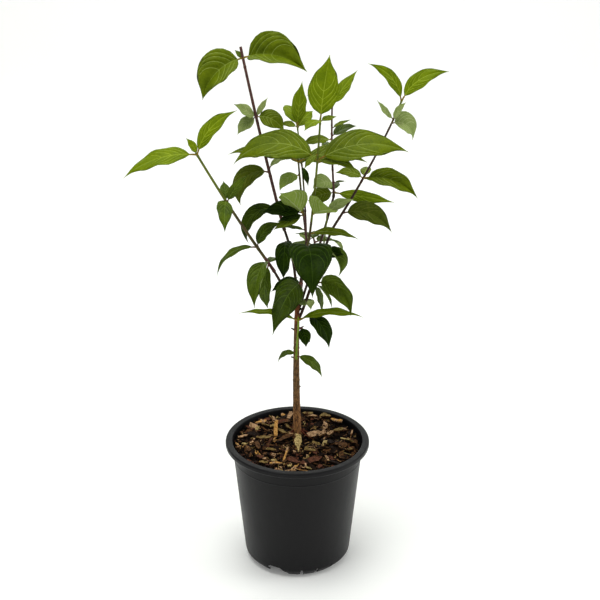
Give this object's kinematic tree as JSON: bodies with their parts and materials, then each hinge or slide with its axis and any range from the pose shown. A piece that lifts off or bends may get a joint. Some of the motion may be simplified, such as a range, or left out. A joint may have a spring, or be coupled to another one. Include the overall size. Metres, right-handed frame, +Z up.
{
  "type": "potted chinese dogwood",
  "caption": "Young Chinese dogwood shrub: slender branching stems and opposite pointed leaves, standing in a round black nursery pot filled with bark mix.",
  "frame": {"origin": "middle of the pot's flat underside, on the floor", "axes": "+Z up along the pot's axis towards the crown; -Y towards the side the picture shows; +X to its right"},
  "size_m": [0.3466, 0.2043, 0.6144],
  "materials": {
    "black_plastic": "satin charcoal-black moulded plastic",
    "bark_mix": "moist dark bark and peat with loose chips",
    "trunk_bark": "brown bark with fine lengthwise cracks",
    "shoot_bark": "smooth purple-brown young bark",
    "leaf_green": "satin green leaf, paler underneath"
  },
  "bodies": {
    "root": {"pot": "black_plastic", "bark_mix": "bark_mix", "trunk": "trunk_bark", "bough_left": "shoot_bark", "bough_upper_left": "shoot_bark", "bough_centre": "shoot_bark", "bough_right": "shoot_bark", "bough_back": "shoot_bark", "foliage_left": "leaf_green", "foliage_upper_left": "leaf_green", "foliage_centre_left": "leaf_green", "foliage_centre_back": "leaf_green", "foliage_centre_front": "leaf_green", "foliage_back": "leaf_green", "foliage_right": "leaf_green", "foliage_inner_right": "leaf_green", "foliage_inner_front": "leaf_green", "foliage_inner_left": "leaf_green", "foliage_low_left": "leaf_green", "foliage_low_right": "leaf_green", "foliage_inner_back": "leaf_green", "foliage_trunk_back": "leaf_green", "foliage_trunk_right": "leaf_green", "foliage_trunk_low": "leaf_green", "foliage_low_shoot": "leaf_green"}
  },
  "joints": []
}
